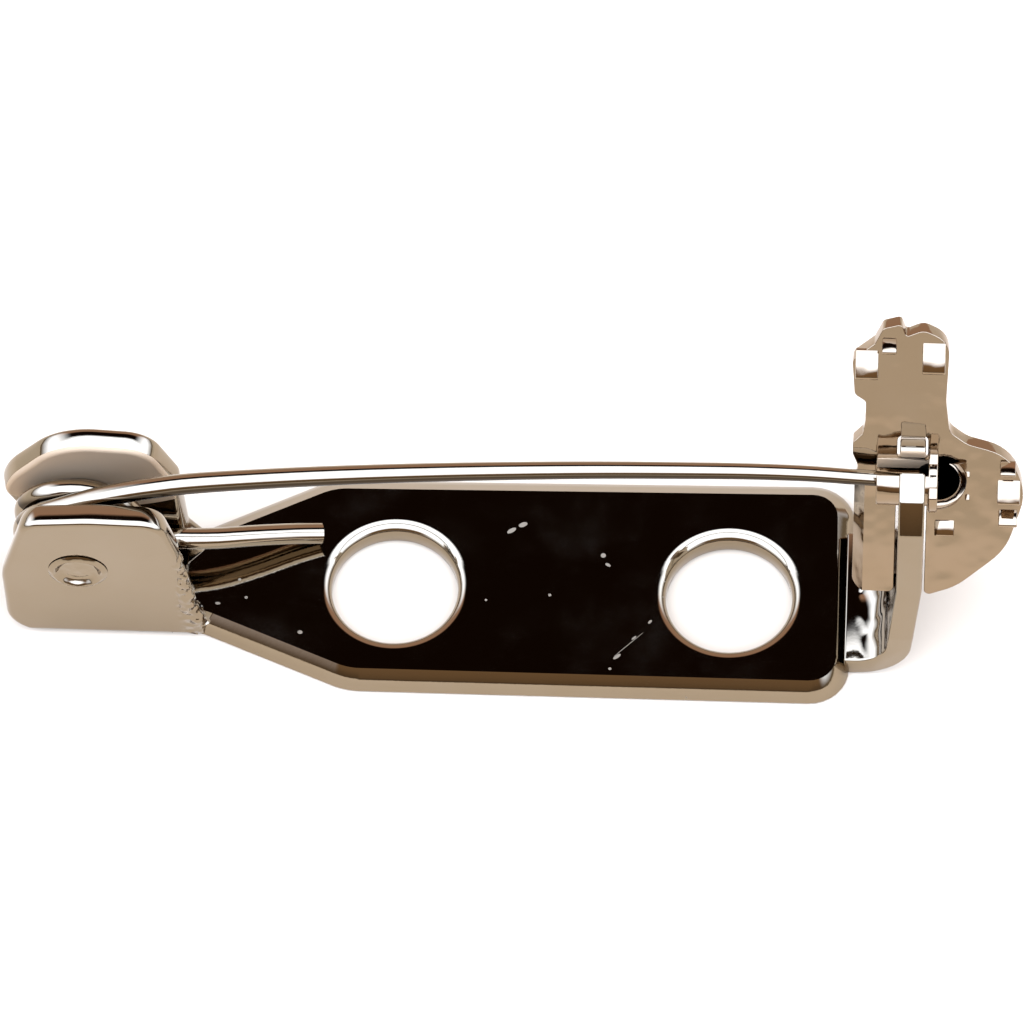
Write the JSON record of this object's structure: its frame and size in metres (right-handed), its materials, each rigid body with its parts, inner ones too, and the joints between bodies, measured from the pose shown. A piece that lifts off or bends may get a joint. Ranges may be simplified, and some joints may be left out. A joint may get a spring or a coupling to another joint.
{
  "type": "brooch pin finding",
  "caption": "Stamped steel bar pin back with sewing holes, a riveted spring pin and a rotary safety catch.",
  "frame": {"origin": "on the plate's underside, midway between the two sewing holes", "axes": "+X along the bar from the hinge to the catch, +Z out of the plate towards the pin, +Y across the bar"},
  "size_m": [0.0199, 0.0048, 0.008],
  "materials": {
    "base_plate": "mirror nickel plate on stamped steel, fine scratches",
    "hinge_rivet": "nickel plate, dulled where staked",
    "pin_wire": "bright drawn and plated steel wire",
    "catch_rotor": "nickel plate, slightly satin from tumbling"
  },
  "bodies": {
    "root": {"base_plate": "base_plate", "hinge_rivet": "hinge_rivet"},
    "pin": {"pin_wire": "pin_wire"},
    "rotor": {"catch_rotor": "catch_rotor"}
  },
  "joints": [
    {"name": "pin_swing", "type": "hinge", "parent": "root", "child": "pin", "pos_m": [-0.00937, 0.00003, 0.0025], "axis": [0, -1, 0], "range_deg": [0, 60]},
    {"name": "catch_turn", "type": "hinge", "parent": "root", "child": "rotor", "pos_m": [0.0068, 0, 0.00512], "axis": [1, 0, 0], "range_deg": [0, 110]}
  ]
}
